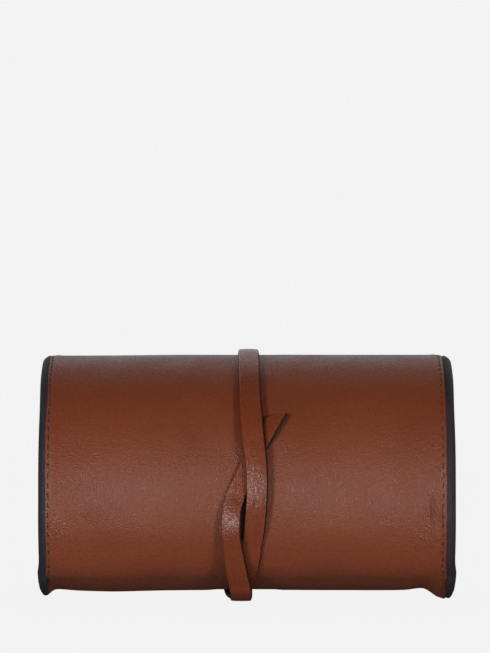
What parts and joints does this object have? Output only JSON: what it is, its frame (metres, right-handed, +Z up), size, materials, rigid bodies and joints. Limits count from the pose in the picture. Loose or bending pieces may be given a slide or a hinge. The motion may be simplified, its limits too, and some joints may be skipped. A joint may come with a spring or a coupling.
{
  "type": "brush roll case",
  "caption": "Rolled leather case for artists' brushes, with bound edges and cloth pockets inside, tied round with a flat leather thong.",
  "frame": {"origin": "centre of the roll's footprint, on the surface it lies on", "axes": "+X along the roll, +Z up, the front with the thong's crossing faces -Y"},
  "size_m": [0.21, 0.1532, 0.1278],
  "materials": {
    "cover_leather": "satin",
    "thong_leather": "satin",
    "edge_binding": "matte",
    "lining_cloth": "matte",
    "pocket_cloth": "matte"
  },
  "bodies": {
    "panel_bottom": {"cover_bottom": "cover_leather", "lining_bottom": "lining_cloth", "side_bindings_bottom": "edge_binding", "pocket_panel_bottom": "pocket_cloth"},
    "panel_front_corner": {"cover_front_corner": "cover_leather", "lining_front_corner": "lining_cloth", "side_bindings_front_corner": "edge_binding", "pocket_panel_front_corner": "pocket_cloth"},
    "panel_front_lower": {"cover_front_lower": "cover_leather", "lining_front_lower": "lining_cloth", "side_bindings_front_lower": "edge_binding", "pocket_panel_front_lower": "pocket_cloth"},
    "panel_front_upper": {"cover_front_upper": "cover_leather", "lining_front_upper": "lining_cloth", "side_bindings_front_upper": "edge_binding", "pocket_panel_front_upper": "pocket_cloth"},
    "panel_top": {"cover_top": "cover_leather", "lining_top": "lining_cloth", "side_bindings_top": "edge_binding", "pocket_panel_top": "pocket_cloth"},
    "panel_back_upper": {"cover_back_upper": "cover_leather", "lining_back_upper": "lining_cloth", "side_bindings_back_upper": "edge_binding", "pocket_panel_back_upper": "pocket_cloth"},
    "panel_flap_end": {"cover_flap_end": "cover_leather", "lining_flap_end": "lining_cloth", "side_bindings_flap_end": "edge_binding", "end_binding_flap_end": "edge_binding", "thong_anchor": "thong_leather", "thong_patch": "thong_leather"},
    "panel_inner_corner": {"cover_inner_corner": "cover_leather", "lining_inner_corner": "lining_cloth", "side_bindings_inner_corner": "edge_binding", "pocket_panel_inner_corner": "pocket_cloth"},
    "panel_inner_back_lower": {"cover_inner_back_lower": "cover_leather", "lining_inner_back_lower": "lining_cloth", "side_bindings_inner_back_lower": "edge_binding", "pocket_panel_inner_back_lower": "pocket_cloth"},
    "panel_inner_back_middle": {"cover_inner_back_middle": "cover_leather", "lining_inner_back_middle": "lining_cloth", "side_bindings_inner_back_middle": "edge_binding", "pocket_panel_inner_back_middle": "pocket_cloth"},
    "panel_inner_end": {"cover_inner_end": "cover_leather", "lining_inner_end": "lining_cloth", "side_bindings_inner_end": "edge_binding", "end_binding_inner_end": "edge_binding"},
    "strap_back_corner": {"thong_back_corner": "thong_leather"},
    "strap_bottom": {"thong_bottom": "thong_leather"},
    "strap_front_corner": {"thong_front_corner": "thong_leather"},
    "strap_front_over": {"thong_front_over": "thong_leather"},
    "strap_front_upper": {"thong_front_upper": "thong_leather"},
    "strap_top": {"thong_top": "thong_leather"},
    "strap_back_upper": {"thong_back_upper": "thong_leather"},
    "strap_back_lower": {"thong_back_lower": "thong_leather"},
    "strap_second_back_corner": {"thong_second_back_corner": "thong_leather"},
    "strap_second_bottom": {"thong_second_bottom": "thong_leather"},
    "strap_second_front_corner": {"thong_second_front_corner": "thong_leather"},
    "strap_tail": {"thong_tail": "thong_leather"}
  },
  "joints": [
    {"name": "unroll_front_corner", "type": "hinge", "parent": "panel_bottom", "child": "panel_front_corner", "pos_m": [0, -0.04821, 0.0044], "axis": [1, 0, 0], "range_deg": [0, 50], "deforming": ["thong_back_corner", "thong_bottom", "thong_front_corner", "thong_front_over", "thong_front_upper", "thong_top", "thong_back_upper", "thong_back_lower", "thong_second_back_corner", "thong_second_bottom", "thong_second_front_corner", "thong_tail"]},
    {"name": "unroll_front_lower", "type": "hinge", "parent": "panel_front_corner", "child": "panel_front_lower", "pos_m": [0, -0.07665, 0.0383], "axis": [1, 0, 0], "range_deg": [0, 50]},
    {"name": "unroll_front_upper", "type": "hinge", "parent": "panel_front_lower", "child": "panel_front_upper", "pos_m": [0, -0.06728, 0.09144], "axis": [1, 0, 0], "range_deg": [0, 40]},
    {"name": "unroll_top", "type": "hinge", "parent": "panel_front_upper", "child": "panel_top", "pos_m": [0, -0.02657, 0.1256], "axis": [1, 0, 0], "range_deg": [0, 40]},
    {"name": "unroll_back_upper", "type": "hinge", "parent": "panel_top", "child": "panel_back_upper", "pos_m": [0, 0.02657, 0.1256], "axis": [1, 0, 0], "range_deg": [0, 40]},
    {"name": "unroll_flap_end", "type": "hinge", "parent": "panel_back_upper", "child": "panel_flap_end", "pos_m": [0, 0.06728, 0.09144], "axis": [1, 0, 0], "range_deg": [0, 40]},
    {"name": "unroll_inner_corner", "type": "hinge", "parent": "panel_bottom", "child": "panel_inner_corner", "pos_m": [0, 0.04611, 0.0044], "axis": [1, 0, 0], "range_deg": [-50, 0]},
    {"name": "unroll_inner_back_lower", "type": "hinge", "parent": "panel_inner_corner", "child": "panel_inner_back_lower", "pos_m": [0, 0.06657, 0.02879], "axis": [1, 0, 0], "range_deg": [-45, 0]},
    {"name": "unroll_inner_back_middle", "type": "hinge", "parent": "panel_inner_back_lower", "child": "panel_inner_back_middle", "pos_m": [0, 0.0634, 0.06503], "axis": [1, 0, 0], "range_deg": [-30, 0]},
    {"name": "unroll_inner_end", "type": "hinge", "parent": "panel_inner_back_middle", "child": "panel_inner_end", "pos_m": [0, 0.04342, 0.09356], "axis": [1, 0, 0], "range_deg": [-30, 0]},
    {"name": "unwind_back_corner", "type": "hinge", "parent": "panel_flap_end", "child": "strap_back_corner", "pos_m": [0, 0.07798, 0.03794], "axis": [1, 0, 0], "range_deg": [0, 50]},
    {"name": "unwind_bottom", "type": "hinge", "parent": "strap_back_corner", "child": "strap_bottom", "pos_m": [0, 0.04879, 0.00315], "axis": [1, 0, 0], "range_deg": [0, 50]},
    {"name": "unwind_front_corner", "type": "hinge", "parent": "strap_bottom", "child": "strap_front_corner", "pos_m": [0, -0.04879, 0.00315], "axis": [1, 0, 0], "range_deg": [0, 50]},
    {"name": "unwind_front_over", "type": "hinge", "parent": "strap_front_corner", "child": "strap_front_over", "pos_m": [0, -0.07978, 0.04009], "axis": [1, 0, 0], "range_deg": [0, 50]},
    {"name": "unwind_front_upper", "type": "hinge", "parent": "strap_front_over", "child": "strap_front_upper", "pos_m": [0, -0.07099, 0.08995], "axis": [1, 0, 0], "range_deg": [0, 40]},
    {"name": "unwind_top", "type": "hinge", "parent": "strap_front_upper", "child": "strap_top", "pos_m": [0, -0.02703, 0.12685], "axis": [1, 0, 0], "range_deg": [0, 40]},
    {"name": "unwind_back_upper", "type": "hinge", "parent": "strap_top", "child": "strap_back_upper", "pos_m": [0, 0.02703, 0.12685], "axis": [1, 0, 0], "range_deg": [0, 40]},
    {"name": "unwind_back_lower", "type": "hinge", "parent": "strap_back_upper", "child": "strap_back_lower", "pos_m": [0, 0.06843, 0.09211], "axis": [1, 0, 0], "range_deg": [0, 40]},
    {"name": "unwind_second_back_corner", "type": "hinge", "parent": "strap_back_lower", "child": "strap_second_back_corner", "pos_m": [0, 0.07798, 0.03794], "axis": [1, 0, 0], "range_deg": [0, 50]},
    {"name": "unwind_second_bottom", "type": "hinge", "parent": "strap_second_back_corner", "child": "strap_second_bottom", "pos_m": [0, 0.04698, 0.001], "axis": [1, 0, 0], "range_deg": [0, 50]},
    {"name": "unwind_second_front_corner", "type": "hinge", "parent": "strap_second_bottom", "child": "strap_second_front_corner", "pos_m": [0, -0.04979, 0.001], "axis": [1, 0, 0], "range_deg": [0, 50]},
    {"name": "unwind_tail", "type": "hinge", "parent": "strap_second_front_corner", "child": "strap_tail", "pos_m": [0, -0.07961, 0.03654], "axis": [1, 0, 0], "range_deg": [0, 52.5]}
  ],
  "couplings": [
    {"joint": "unroll_front_lower", "follows": "unroll_front_corner", "ratio": 1},
    {"joint": "unroll_front_upper", "follows": "unroll_front_corner", "ratio": 0.8},
    {"joint": "unroll_top", "follows": "unroll_front_corner", "ratio": 0.8},
    {"joint": "unroll_back_upper", "follows": "unroll_front_corner", "ratio": 0.8},
    {"joint": "unroll_flap_end", "follows": "unroll_front_corner", "ratio": 0.8},
    {"joint": "unroll_inner_corner", "follows": "unroll_front_corner", "ratio": -1},
    {"joint": "unroll_inner_back_lower", "follows": "unroll_front_corner", "ratio": -0.9},
    {"joint": "unroll_inner_back_middle", "follows": "unroll_front_corner", "ratio": -0.6},
    {"joint": "unroll_inner_end", "follows": "unroll_front_corner", "ratio": -0.6},
    {"joint": "unwind_back_corner", "follows": "unroll_front_corner", "ratio": 1},
    {"joint": "unwind_bottom", "follows": "unroll_front_corner", "ratio": 1},
    {"joint": "unwind_front_corner", "follows": "unroll_front_corner", "ratio": 1},
    {"joint": "unwind_front_over", "follows": "unroll_front_corner", "ratio": 1},
    {"joint": "unwind_front_upper", "follows": "unroll_front_corner", "ratio": 0.8},
    {"joint": "unwind_top", "follows": "unroll_front_corner", "ratio": 0.8},
    {"joint": "unwind_back_upper", "follows": "unroll_front_corner", "ratio": 0.8},
    {"joint": "unwind_back_lower", "follows": "unroll_front_corner", "ratio": 0.8},
    {"joint": "unwind_second_back_corner", "follows": "unroll_front_corner", "ratio": 1},
    {"joint": "unwind_second_bottom", "follows": "unroll_front_corner", "ratio": 1},
    {"joint": "unwind_second_front_corner", "follows": "unroll_front_corner", "ratio": 1},
    {"joint": "unwind_tail", "follows": "unroll_front_corner", "ratio": 1.05}
  ]
}
